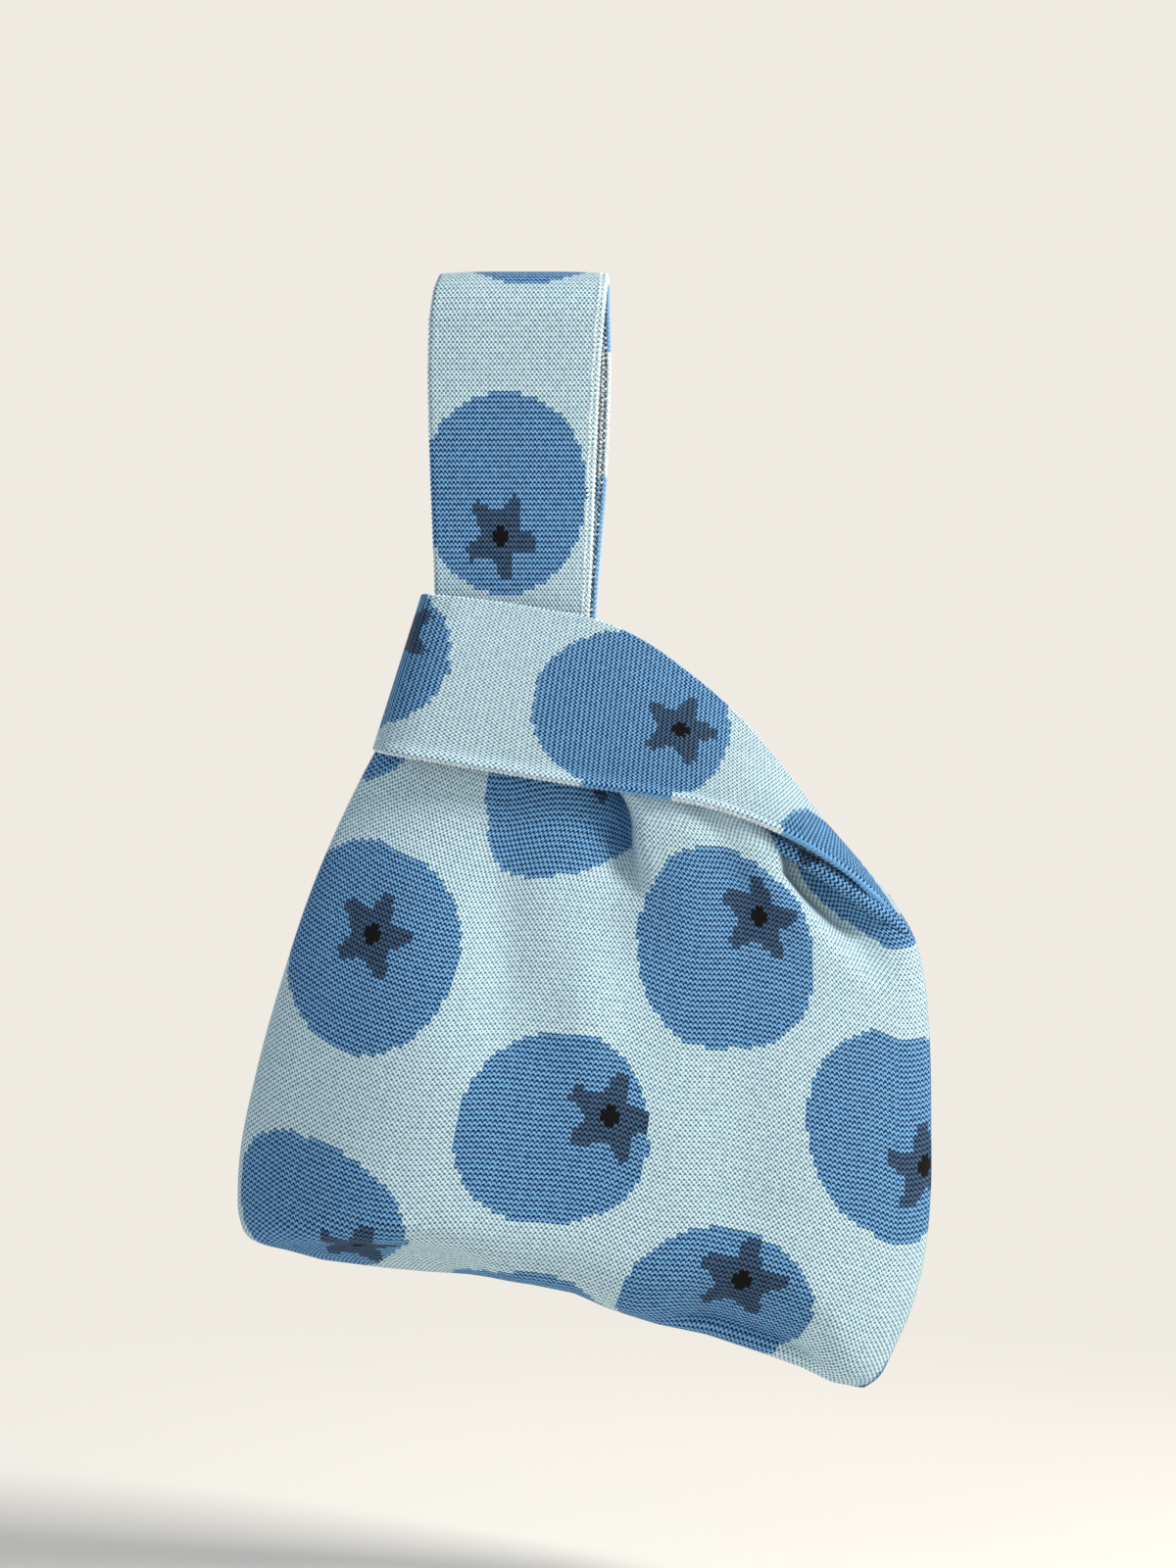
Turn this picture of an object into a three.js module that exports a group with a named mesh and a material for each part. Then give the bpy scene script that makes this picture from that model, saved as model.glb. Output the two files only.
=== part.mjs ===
// A knitted knot bag, hung by its long handle with the mouth drawn shut.
// Two shaped knit panels are linked down the sides, along the bottom and at the tops of both handles.
// The wide short handle is wrapped round the foot of the long handle and holds the mouth closed.
// Millimetres, +Z up. The front faces -Y, and the origin is where the long handle rests on its support.
import * as THREE from 'three';

const { lerp, smoothstep } = THREE.MathUtils;

// Fabric and the linked chains that join and finish it
const KNIT = 2.6;
const CHAIN_WIDTH = 1.8;
const GAP = 0.3;
const RUNNING_CLEARANCE = 0.5;
const FOLD_CLEARANCE = 1.1;
const FOLD_SEAT = 0.6;

// Long handle: a strap over a round support, its left edge straight, its right edge narrowing downwards
const SEAT_RADIUS = 11.5;
const HANDLE_WIDTH = 55;
const HANDLE_LEFT = 27.5;
const NECK_WIDTH = 49;
const HANDLE_DROP = 102;
const NECK_SPREAD = 4;
const ARCH_FACETS = 11;
const LEG_BELOW_ARCH = 8;
const JOIN_DROP = 33;

// Where the handle bends as the pouch swings
const FLEX_DROP = 54;
const FLEX_LENGTH = 16;

// Short handle: a band round the neck that can ride up the long handle to open the mouth
const BAND_WIDTH = 50;
const BAND_LIFT = 30;
const BAND_FLARE = 3;
const BAND_RIDGE = 5;
const BAND_REACH = 118;
const BAND_FOLD = 5;
const BAND_END_RISE = 11;
const BAND_END_WIDTH = 8;
const BAND_EASE = 2;
const UPPER_BEND_SHARE = 0.55;
const LOWER_BEND_SHARE = 0.67;
const LOWER_EDGE_SAG = 17;
const BAND_TAPER_SHARE = 0.35;

// Pouch: corners of the outline as it hangs, slanting down to the right
const POUCH_TOP_LEFT = 44;
const POUCH_TOP_WIDTH = 170;
const POUCH_TOP_SLANT = 57;
const POUCH_BOTTOM_LEFT = 88;
const POUCH_BOTTOM_WIDTH = 203;
const POUCH_LEFT_HEIGHT = 158;
const POUCH_RIGHT_HEIGHT = 147;
const POUCH_DEPTH = 42;
const POUCH_TOP_DEPTH = 28;
const LEFT_BOW = 9;
const RIGHT_BOW = 12;
const BOTTOM_LIFT = 5;
const BOTTOM_ROUND = 26;
const ROUNDNESS = 0.8;
const DEPTH_TAPER_SHARE = 0.4;
const SEAM_END_LIFT = 0.45;

// Roots of the long handle: how far its two edges swing out, and how far the mouth edge stands off the band
const ARMHOLE_BEND_SHARE = 0.6;
const ARMHOLE_INSET = 1;
const MOUTH_ACROSS_SHARE = 0.5;
const MOUTH_DOWN_SHARE = 0.62;
const MOUTH_NECK_SHARE = 0.42;
const MOUTH_SPREAD = 6;
const MOUTH_SPREAD_POWER = 4;

// Mesh steps
const PANEL_COLUMNS = 14;
const PANEL_ROWS = 9;
const ROUND_ROWS = 5;
const NECK_ROWS = 3;
const ROOT_ROWS = 8;
const ROOT_COLUMNS = 8;
const BAND_RUN_STEPS = 11;
const BAND_FOLD_STEPS = 4;
const BAND_COLUMNS = 4;
const STRAP_COLUMNS = 3;
const LEG_STEPS = 3;
const JOINED_LEG_STEPS = 1;
const FLEX_STEPS = 2;

const groundKnit = new THREE.MeshStandardMaterial({ color: '#c3dee8', roughness: 0.92, metalness: 0 });
const innerKnit = new THREE.MeshStandardMaterial({ color: '#9dbccb', roughness: 0.95, metalness: 0 });
const chainKnit = new THREE.MeshStandardMaterial({ color: '#e6f1f4', roughness: 0.88, metalness: 0 });
const bandKnit = new THREE.MeshStandardMaterial({ color: '#b4d2df', roughness: 0.92, metalness: 0 });

const bag = new THREE.Group();

// A wall of fabric: a grid of pairs, each the outer and the inner point of the wall, closed round its rim
function addWall(name, material, pairs) {
  const rows = pairs.length;
  const columns = pairs[0].length;
  const position = [];
  for (const side of [0, 1]) {
    for (const row of pairs) {
      for (const pair of row) position.push(pair[side].x, pair[side].y, pair[side].z);
    }
  }
  const at = (side, row, column) => (side * rows + row) * columns + column;
  const index = [];
  const quad = (a, b, c, d) => index.push(a, b, c, a, c, d);
  for (let r = 0; r < rows - 1; r++) {
    for (let c = 0; c < columns - 1; c++) {
      quad(at(0, r, c), at(0, r, c + 1), at(0, r + 1, c + 1), at(0, r + 1, c));
      quad(at(1, r, c), at(1, r + 1, c), at(1, r + 1, c + 1), at(1, r, c + 1));
    }
  }
  const top = rows - 1;
  const last = columns - 1;
  for (let r = 0; r < top; r++) {
    quad(at(0, r, 0), at(0, r + 1, 0), at(1, r + 1, 0), at(1, r, 0));
    quad(at(0, r, last), at(1, r, last), at(1, r + 1, last), at(0, r + 1, last));
  }
  for (let c = 0; c < last; c++) {
    quad(at(0, 0, c), at(1, 0, c), at(1, 0, c + 1), at(0, 0, c + 1));
    quad(at(0, top, c), at(0, top, c + 1), at(1, top, c + 1), at(1, top, c));
  }
  if (signedVolume(position, index) < 0) index.reverse();
  const geometry = new THREE.BufferGeometry();
  geometry.setAttribute('position', new THREE.Float32BufferAttribute(position, 3));
  geometry.setIndex(index);
  geometry.computeVertexNormals();
  const mesh = new THREE.Mesh(geometry, material);
  mesh.name = name;
  bag.add(mesh);
}

function signedVolume(position, index) {
  const corner = (i) => new THREE.Vector3().fromArray(position, 3 * index[i]);
  let volume = 0;
  for (let i = 0; i < index.length; i += 3) {
    volume += corner(i).dot(corner(i + 1).cross(corner(i + 2))) / 6;
  }
  return volume;
}

const steps = (count) => Array.from({ length: count + 1 }, (_, i) => i / count);
const mirrorPoint = (p) => new THREE.Vector3(p.x, -p.y, p.z);
const mirrored = (pairs) => pairs.map((row) => row.map((pair) => pair.map(mirrorPoint)));

// The front piece as given, and the back piece as its mirror image
function addFrontAndBack(nameOf, material, pairs) {
  addWall(nameOf('front'), material, pairs);
  addWall(nameOf('back'), material, mirrored(pairs));
}

// Columns across a strap of a given width: its left chain, the knit between, and its right chain
function strapColumns(width, count) {
  const inset = CHAIN_WIDTH + GAP;
  return {
    left: [0, CHAIN_WIDTH],
    knit: steps(count).map((s) => lerp(inset, width - inset, s)),
    right: [width - CHAIN_WIDTH, width],
  };
}

// Long handle: how wide it is and how far its legs stand apart at a given drop below the seat
const handleWidthAt = (drop) => lerp(HANDLE_WIDTH, NECK_WIDTH, Math.min(drop / HANDLE_DROP, 1));
function legSpreadAt(drop) {
  return lerp(SEAT_RADIUS + KNIT / 2, NECK_SPREAD, (drop - SEAT_RADIUS) / (HANDLE_DROP - SEAT_RADIUS));
}

// One row of the handle's path: y and z of its outer and inner face, and the drop that sets its width
function archRow(angle) {
  const flat = 1 / Math.cos(Math.PI / (2 * ARCH_FACETS));
  const ring = (radius) => [-radius * flat * Math.cos(angle), radius * flat * Math.sin(angle) - SEAT_RADIUS];
  return { outer: ring(SEAT_RADIUS + KNIT), inner: ring(SEAT_RADIUS), drop: 0 };
}
function legRow(side, drop) {
  const spread = legSpreadAt(drop);
  return {
    outer: [side * (spread + KNIT / 2), -drop],
    inner: [side * (spread - KNIT / 2), -drop],
    drop: drop - SEAT_RADIUS,
  };
}
function handlePairs(path, pick) {
  return path.map((row) => pick(handleWidthAt(row.drop)).map((x) => [
    new THREE.Vector3(x - HANDLE_LEFT, ...row.outer),
    new THREE.Vector3(x - HANDLE_LEFT, ...row.inner),
  ]));
}
const legDrops = (from, to, count) => steps(count).map((s) => lerp(from, to, s));
const joinBottom = JOIN_DROP + CHAIN_WIDTH;
const flexBottom = FLEX_DROP + FLEX_LENGTH;
const firstLegDrop = SEAT_RADIUS + LEG_BELOW_ARCH;

const frontLeg = legDrops(FLEX_DROP, firstLegDrop, LEG_STEPS).map((drop) => legRow(-1, drop));
const arch = steps(ARCH_FACETS).map((s) => archRow(Math.PI * s));
const backUpper = legDrops(firstLegDrop, JOIN_DROP - GAP, JOINED_LEG_STEPS).map((drop) => legRow(1, drop));
const join = [JOIN_DROP, joinBottom].map((drop) => legRow(1, drop));
const backLower = legDrops(joinBottom + GAP, FLEX_DROP, JOINED_LEG_STEPS).map((drop) => legRow(1, drop));
const wholeLoop = [...frontLeg, ...arch, ...backUpper, ...join, ...backLower];

const handleColumns = (width) => strapColumns(width, STRAP_COLUMNS);
const knitColumns = (width) => handleColumns(width).knit;
const frontAndOver = [...frontLeg, ...arch, ...backUpper];
addWall('long_handle_front_strap', groundKnit, handlePairs(frontAndOver, knitColumns));
addWall('long_handle_back_strap', innerKnit, handlePairs(backLower, knitColumns));
addWall('long_handle_join', chainKnit, handlePairs(join, knitColumns));
addWall('long_handle_edge_left', chainKnit, handlePairs(wholeLoop, (width) => handleColumns(width).left));
addWall('long_handle_edge_right', chainKnit, handlePairs(wholeLoop, (width) => handleColumns(width).right));

const flex = legDrops(FLEX_DROP + GAP, flexBottom - GAP, FLEX_STEPS).map((drop) => legRow(-1, drop));
const flexPairs = handlePairs(flex, (width) => [0, width / 2, width]);
addFrontAndBack((side) => `handle_flex_${side}`, groundKnit, flexPairs);

// Pouch outline: the row of stitches at a height between bottom (0) and top (1), as its two ends
const topLeft = new THREE.Vector2(-POUCH_TOP_LEFT, -HANDLE_DROP - BAND_WIDTH);
const topRight = new THREE.Vector2(POUCH_TOP_WIDTH - POUCH_TOP_LEFT, topLeft.y - POUCH_TOP_SLANT);
const bottomLeft = new THREE.Vector2(-POUCH_BOTTOM_LEFT, topLeft.y - POUCH_LEFT_HEIGHT);
const bottomRight = new THREE.Vector2(
  POUCH_BOTTOM_WIDTH - POUCH_BOTTOM_LEFT,
  topRight.y - POUCH_RIGHT_HEIGHT,
);
function rowEnds(height) {
  const bow = Math.sin(Math.PI * THREE.MathUtils.clamp(height, 0, 1)) ** ROUNDNESS;
  const left = bottomLeft.clone().lerp(topLeft, height);
  const right = bottomRight.clone().lerp(topRight, height);
  left.x -= LEFT_BOW * bow;
  right.x += RIGHT_BOW * bow;
  return { left, right };
}

const seamEdge = CHAIN_WIDTH / 2 + GAP;
const pouchHeight = (POUCH_LEFT_HEIGHT + POUCH_RIGHT_HEIGHT) / 2;
const signedPower = (value, power) => Math.sign(value) * Math.abs(value) ** power;

// A point of the pouch wall, depth millimetres under its outer face.
// across goes from 0 at the left seam to 1 at the right; rounding from 0 at the bottom seam to 1 up the wall.
function pouchPoint(across, height, rounding, depth) {
  const turn = Math.PI * across;
  const { left, right } = rowEnds(height);
  const centre = left.clone().add(right).multiplyScalar(0.5);
  const reach = right.clone().sub(left).multiplyScalar(0.5);
  reach.multiplyScalar(1 - depth / reach.length());
  const along = signedPower(-Math.cos(turn), ROUNDNESS);
  const place = centre.addScaledVector(reach, along);
  const fullDepth = lerp(POUCH_DEPTH, POUCH_TOP_DEPTH, smoothstep(height, DEPTH_TAPER_SHARE, 1)) / 2;
  const bulge = (fullDepth - depth - seamEdge) * Math.sin(turn) ** ROUNDNESS * rounding ** ROUNDNESS;
  const lift = BOTTOM_LIFT * Math.sin(turn) ** 2 * (1 - THREE.MathUtils.clamp(height, 0, 1));
  return new THREE.Vector3(place.x, -seamEdge - bulge, place.y + lift);
}

// Rows of the pouch wall: the rounded bottom first, then evenly up to the top row
const roundRows = steps(ROUND_ROWS).map((s) => ({ swing: s * Math.PI / 2, height: 0 }));
const wallRows = steps(PANEL_ROWS).slice(1).map((s) => ({ swing: Math.PI / 2, height: s }));
function wallHeight(row, depth) {
  const rounded = depth + (BOTTOM_ROUND - depth) * (1 - Math.cos(row.swing));
  return lerp(rounded / pouchHeight, 1, row.height);
}
const pouchRows = [...roundRows, ...wallRows];
function pouchPair(across, row) {
  return [0, KNIT].map((depth) => pouchPoint(across, wallHeight(row, depth), Math.sin(row.swing), depth));
}
const panelPairs = pouchRows.map((row) => steps(PANEL_COLUMNS).map((across) => pouchPair(across, row)));
addFrontAndBack((side) => `${side}_panel`, groundKnit, panelPairs);

// Linked seams: flush chains between the front and back panels
const chainSides = [-CHAIN_WIDTH / 2, CHAIN_WIDTH / 2];
const atDepthOf = (pair, y, lift) => pair.map((p) => new THREE.Vector3(p.x, y, p.z + lift));
function sideSeam(across) {
  return pouchRows.map((row, r) => {
    const lift = SEAM_END_LIFT * (1 - r / (pouchRows.length - 1));
    return chainSides.map((y) => atDepthOf(pouchPair(across, row), y, lift));
  });
}
addWall('left_side_seam', chainKnit, sideSeam(0));
addWall('right_side_seam', chainKnit, sideSeam(1));
const bottomSeam = steps(PANEL_COLUMNS).map((across) => {
  return chainSides.map((y) => atDepthOf(pouchPair(across, pouchRows[0]), y, 0));
});
addWall('bottom_seam', chainKnit, bottomSeam);

// Roots of the long handle: each leg runs down inside the band and widens into the top row of its panel.
// The left edge is the handle's own opening, and the right edge is the mouth of the bag.
const neckLeft = new THREE.Vector2(-HANDLE_LEFT, -HANDLE_DROP);
const neckRight = new THREE.Vector2(NECK_WIDTH - HANDLE_LEFT, -HANDLE_DROP);
const alongTop = topRight.clone().sub(topLeft).normalize();
const seamGap = new THREE.Vector2(-alongTop.y, alongTop.x).multiplyScalar(GAP);
const rootLeft = topLeft.clone().addScaledVector(alongTop, KNIT).add(seamGap);
const rootRight = topRight.clone().addScaledVector(alongTop, -KNIT).add(seamGap);
const armholeCurve = new THREE.QuadraticBezierCurve(
  rootLeft,
  new THREE.Vector2(neckLeft.x - ARMHOLE_INSET, lerp(rootLeft.y, neckLeft.y, ARMHOLE_BEND_SHARE)),
  neckLeft,
);
const mouthCurve = new THREE.CubicBezierCurve(
  rootRight,
  new THREE.Vector2(
    lerp(neckRight.x, rootRight.x, MOUTH_ACROSS_SHARE),
    lerp(neckRight.y, rootRight.y, MOUTH_DOWN_SHARE),
  ),
  new THREE.Vector2(neckRight.x, lerp(neckRight.y, rootRight.y, MOUTH_NECK_SHARE)),
  neckRight,
);
function rootPoints(rise, pick) {
  const left = armholeCurve.getPoint(rise);
  const right = mouthCurve.getPoint(rise);
  const width = left.distanceTo(right);
  return pick(width).map((distance) => {
    const s = distance / width;
    const place = left.clone().lerp(right, s);
    const turn = Math.acos(signedPower(1 - 2 * s, 1 / ROUNDNESS));
    const section = POUCH_TOP_DEPTH / 2 * Math.sin(turn) ** ROUNDNESS;
    const low = Math.max(section, seamEdge + KNIT);
    const spread = MOUTH_SPREAD * Math.sin(Math.PI * rise) * s ** MOUTH_SPREAD_POWER;
    const y = lerp(low, NECK_SPREAD + KNIT / 2, smoothstep(rise, 0, 1)) + spread;
    return [new THREE.Vector3(place.x, -y, place.y), new THREE.Vector3(place.x, KNIT - y, place.y)];
  });
}
const neckDrops = legDrops(HANDLE_DROP, flexBottom, NECK_ROWS).slice(1);
function rootPairs(pick) {
  const spread = steps(ROOT_ROWS).map((rise) => rootPoints(rise, pick));
  return [...spread, ...handlePairs(neckDrops.map((drop) => legRow(-1, drop)), pick)];
}
const frontOrBack = (name) => (side) => `${name}_${side}`;
const rootColumns = (width) => strapColumns(width, ROOT_COLUMNS);
addFrontAndBack(frontOrBack('long_handle_root'), groundKnit, rootPairs((width) => rootColumns(width).knit));
addFrontAndBack(frontOrBack('armhole_edge'), chainKnit, rootPairs((width) => rootColumns(width).left));
addFrontAndBack(frontOrBack('mouth_edge'), chainKnit, rootPairs((width) => rootColumns(width).right));

// Short handle: the band's two edges, each folded round the left of the neck and then running right.
// Its spread leaves room for the legs of the long handle when the band is lifted.
const bandSpread = legSpreadAt(HANDLE_DROP - BAND_LIFT) + KNIT + RUNNING_CLEARANCE + BAND_EASE;
function bandEdge(fold, foldHeight, spread, bend, end, endSpread) {
  const start = new THREE.Vector2(fold + BAND_FOLD, foldHeight);
  const run = new THREE.QuadraticBezierCurve(start, bend, end);
  const foldPoints = steps(BAND_FOLD_STEPS).slice(0, -1).map((s) => {
    const turn = s * Math.PI / 2;
    const y = seamEdge + (spread - seamEdge) * Math.sin(turn) ** ROUNDNESS;
    return new THREE.Vector3(fold + BAND_FOLD * (1 - Math.cos(turn) ** ROUNDNESS), -y, foldHeight);
  });
  const runPoints = steps(BAND_RUN_STEPS).map((s) => {
    const place = run.getPoint(s);
    return new THREE.Vector3(place.x, -lerp(spread, endSpread, smoothstep(s, BAND_TAPER_SHARE, 1)), place.y);
  });
  return [...foldPoints, ...runPoints];
}
const bandEnd = new THREE.Vector2(BAND_REACH, topRight.y + BAND_END_RISE);
const bandLowerEnd = bandEnd.clone().addScaledVector(alongTop, -BAND_END_WIDTH);
const upperEdge = bandEdge(
  -HANDLE_LEFT - FOLD_CLEARANCE - KNIT / 2,
  -HANDLE_DROP,
  bandSpread,
  new THREE.Vector2(lerp(-HANDLE_LEFT, BAND_REACH, UPPER_BEND_SHARE), -HANDLE_DROP),
  bandEnd,
  BAND_RIDGE,
);
const lowerEdge = bandEdge(
  rootLeft.x - FOLD_SEAT - KNIT / 2,
  -HANDLE_DROP - BAND_WIDTH,
  bandSpread + BAND_FLARE,
  new THREE.Vector2(
    lerp(-HANDLE_LEFT, BAND_REACH, LOWER_BEND_SHARE),
    -HANDLE_DROP - BAND_WIDTH - LOWER_EDGE_SAG,
  ),
  bandLowerEnd,
  bandSpread + BAND_FLARE,
);

// The band's wall: a middle surface between its edges, with half the knit on each side of it
function bandPairs(pick) {
  const middle = lowerEdge.map((low, i) => {
    const high = upperEdge[i];
    const width = low.distanceTo(high);
    return pick(width).map((distance) => low.clone().lerp(high, distance / width));
  });
  const lastRow = middle.length - 1;
  return middle.map((row, r) => row.map((point, c) => {
    const along = middle[Math.min(r + 1, lastRow)][c].clone().sub(middle[Math.max(r - 1, 0)][c]);
    const up = upperEdge[r].clone().sub(lowerEdge[r]);
    const out = along.cross(up).normalize().multiplyScalar(KNIT / 2);
    if (r === 0) out.setY(0).setLength(KNIT / 2);
    return [point.clone().add(out), point.clone().sub(out)];
  }));
}
const bandColumns = (width) => strapColumns(width, BAND_COLUMNS);
addFrontAndBack(frontOrBack('short_handle'), bandKnit, bandPairs((width) => bandColumns(width).knit));
addFrontAndBack(frontOrBack('band_lower_edge'), chainKnit, bandPairs((width) => bandColumns(width).left));
addFrontAndBack(frontOrBack('band_upper_edge'), chainKnit, bandPairs((width) => bandColumns(width).right));
const bandJoin = bandPairs((width) => bandColumns(width).knit)[0];
addWall('short_handle_join', chainKnit, chainSides.map((y) => bandJoin.map((pair) => atDepthOf(pair, y, 0))));

export default bag;
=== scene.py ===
"""A knitted knot bag, hung by its long handle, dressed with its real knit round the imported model.

Everything is worked out in millimetres in the model's own frame and put into the meshes in metres.
The front faces -Y, +Z is up, and the origin is where the long handle rests on its support.
"""
import math

import bpy
import numpy as np
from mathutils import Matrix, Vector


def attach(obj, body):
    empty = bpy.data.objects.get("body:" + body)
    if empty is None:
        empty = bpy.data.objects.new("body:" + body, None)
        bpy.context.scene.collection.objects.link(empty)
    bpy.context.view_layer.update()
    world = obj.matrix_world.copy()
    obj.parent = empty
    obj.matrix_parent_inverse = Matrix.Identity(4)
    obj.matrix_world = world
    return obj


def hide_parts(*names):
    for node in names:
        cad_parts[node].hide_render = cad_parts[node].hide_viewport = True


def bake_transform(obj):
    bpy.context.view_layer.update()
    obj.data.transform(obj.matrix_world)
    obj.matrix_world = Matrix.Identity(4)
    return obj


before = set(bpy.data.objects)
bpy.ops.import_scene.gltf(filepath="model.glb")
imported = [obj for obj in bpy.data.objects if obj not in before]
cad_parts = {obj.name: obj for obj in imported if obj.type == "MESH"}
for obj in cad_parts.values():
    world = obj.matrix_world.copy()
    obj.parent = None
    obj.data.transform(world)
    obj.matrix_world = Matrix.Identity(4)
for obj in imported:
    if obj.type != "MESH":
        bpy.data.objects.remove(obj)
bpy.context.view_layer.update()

# Colours and shader nodes
MM = 0.001


def linear(code):
    """Linear red, green, blue and alpha of an sRGB hex code. A channel c becomes c / 12.92 up to 0.04045,
    and ((c + 0.055) / 1.055) ^ 2.4 above it."""
    c = np.array([int(code[i : i + 2], 16) / 255 for i in (1, 3, 5)])
    return (*np.where(c > 0.04045, ((c + 0.055) / 1.055) ** 2.4, c / 12.92), 1.0)


def put(tree, kind, inputs=(), **settings):
    """Adds one node: its own settings, then each input's value or the socket that feeds it."""
    node = tree.nodes.new("ShaderNode" + kind)
    for key, value in settings.items():
        setattr(node, key, value)
    for key, value in dict(inputs).items():
        if isinstance(value, bpy.types.NodeSocket):
            tree.links.new(value, node.inputs[key])
        else:
            node.inputs[key].default_value = value
    return node


def calc(tree, operation, *values):
    """The result of one step of arithmetic on values or sockets."""
    return put(tree, "Math", dict(enumerate(values)), operation=operation).outputs[0]


def noise(tree, place, scale, detail):
    """Noise from 0 to 1 at a place, with its scale and its levels of detail."""
    return put(tree, "TexNoise", {"Vector": place, "Scale": scale, "Detail": detail}).outputs[0]


def blank_material(name):
    """A new material without any nodes."""
    material = bpy.data.materials.new(name)
    material.use_nodes = True
    material.node_tree.nodes.clear()
    return material


# Studio
# A plain pale floor under the hanging bag, one soft lamp from the upper right and weaker light all round.
# The camera is level, as far off as a picture taken by hand would be. The lamps, the floor and the farthest
# thing seen are in metres, and each lamp has its place, size, power and colour.
VIEW_CENTRE = (23.07, -162.7)
VIEW_DISTANCE = 1100.0
VIEW_HEIGHT = 505.6
FRONT_PLANE = -8.0
SENSOR = 36.0
FARTHEST_SEEN = 20.0
LAMP_TARGET = np.array([0.02, 0.0, -0.2])
LAMPS = {
    "key": ((1.42, -0.66, 0.9), 0.5, 42.0, "#fffaf3"),
    "fill": ((-1.0, -1.3, 0.2), 1.6, 9.0, "#f2f6ff"),
    "rear": ((-0.4, 1.4, 0.5), 1.4, 12.0, "#ffffff"),
}
AMBIENT_HEX, AMBIENT_STRENGTH = "#ecf4ff", 0.25
BACKDROP_HEX = "#efebe3"
FLOOR_DROP = 0.43
FLOOR_RADIUS, FLOOR_SIDES = 3.0, 64
FLOOR_FADE = (0.22, 0.62)
FLOOR_GRAIN = (60.0, 4.0)
FLOOR_RELIEF, FLOOR_RELIEF_STRENGTH = 0.002, 0.05
FLOOR_ROUGHNESS = 0.9


def seen_only(tree):
    """1 for what the camera sees, straight, in a gloss or through glass, and else 0."""
    rays = put(tree, "LightPath").outputs
    seen = calc(tree, "MAXIMUM", rays["Is Camera Ray"], rays["Is Glossy Ray"])
    return calc(tree, "MAXIMUM", seen, rays["Is Transmission Ray"])


def studio_world():
    """The plain backdrop, which gives only a weak, cool light to the bag."""
    world = bpy.data.worlds.new("studio")
    world.use_nodes = True
    world.node_tree.nodes.clear()
    tree = world.node_tree
    ambient = put(tree, "Background", {"Color": linear(AMBIENT_HEX), "Strength": AMBIENT_STRENGTH})
    shown = put(tree, "Background", {"Color": linear(BACKDROP_HEX), "Strength": 1.0})
    both = put(tree, "MixShader", {0: seen_only(tree), 1: ambient.outputs[0], 2: shown.outputs[0]})
    put(tree, "OutputWorld", {"Surface": both.outputs[0]})
    return world


def floor_material():
    """Matt paint with a fine grain, which fades into the backdrop away from the middle and is clear from
    below."""
    material = blank_material("painted_floor")
    tree = material.node_tree
    place = put(tree, "TexCoord").outputs["Object"]
    level = put(tree, "VectorMath", {0: place, 1: (1.0, 1.0, 0.0)}, operation="MULTIPLY").outputs[0]
    away = put(tree, "VectorMath", {0: level}, operation="LENGTH").outputs["Value"]
    limits = {"Value": away, "From Min": FLOOR_FADE[0], "From Max": FLOOR_FADE[1]}
    fade = put(tree, "MapRange", limits, interpolation_type="SMOOTHSTEP").outputs[0]
    fade = calc(tree, "MULTIPLY", fade, seen_only(tree))
    grain = noise(tree, place, *FLOOR_GRAIN)
    bump = {"Height": grain, "Strength": FLOOR_RELIEF_STRENGTH, "Distance": FLOOR_RELIEF}
    relief = put(tree, "Bump", bump).outputs[0]
    backdrop = linear(BACKDROP_HEX)
    surface = {"Base Color": backdrop, "Roughness": FLOOR_ROUGHNESS, "Normal": relief}
    matt = put(tree, "BsdfPrincipled", surface)
    glow = put(tree, "Emission", {"Color": backdrop, "Strength": 1.0})
    above = put(tree, "MixShader", {0: fade, 1: matt.outputs[0], 2: glow.outputs[0]})
    underside = put(tree, "NewGeometry").outputs["Backfacing"]
    clear = put(tree, "BsdfTransparent")
    shown = put(tree, "MixShader", {0: underside, 1: above.outputs[0], 2: clear.outputs[0]})
    put(tree, "OutputMaterial", {"Surface": shown.outputs[0]})
    return material


camera = bpy.data.cameras.new("camera")
camera.sensor_width = SENSOR
camera.lens = SENSOR * VIEW_DISTANCE / VIEW_HEIGHT
camera.clip_end = FARTHEST_SEEN
eye = bpy.data.objects.new("camera", camera)
eye.location = (VIEW_CENTRE[0] * MM, (FRONT_PLANE - VIEW_DISTANCE) * MM, VIEW_CENTRE[1] * MM)
eye.rotation_euler = (math.pi / 2, 0, 0)
bpy.context.scene.collection.objects.link(eye)
bpy.context.scene.camera = eye
bpy.context.scene.view_settings.view_transform = "Standard"
bpy.context.scene.world = studio_world()

for lamp_name, (place, size, power, tint) in LAMPS.items():
    light = bpy.data.lights.new(lamp_name, "AREA")
    light.size = size
    light.energy = power
    light.color = linear(tint)[:3]
    lamp = bpy.data.objects.new(lamp_name, light)
    lamp.location = place
    aim = Vector(LAMP_TARGET - np.array(place))
    lamp.rotation_euler = aim.to_track_quat("-Z", "Y").to_euler()
    bpy.context.scene.collection.objects.link(lamp)

ring = np.linspace(0, 2 * math.pi, FLOOR_SIDES, endpoint=False)
rim = np.stack(
    [np.cos(ring) * FLOOR_RADIUS, np.sin(ring) * FLOOR_RADIUS, np.full(FLOOR_SIDES, -FLOOR_DROP)], axis=1
)
floor_mesh = bpy.data.meshes.new("floor")
floor_mesh.from_pydata(rim.tolist(), [], [list(range(FLOOR_SIDES))])
floor_mesh.materials.append(floor_material())
floor = bpy.data.objects.new("floor", floor_mesh)
bpy.context.scene.collection.objects.link(floor)

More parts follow.
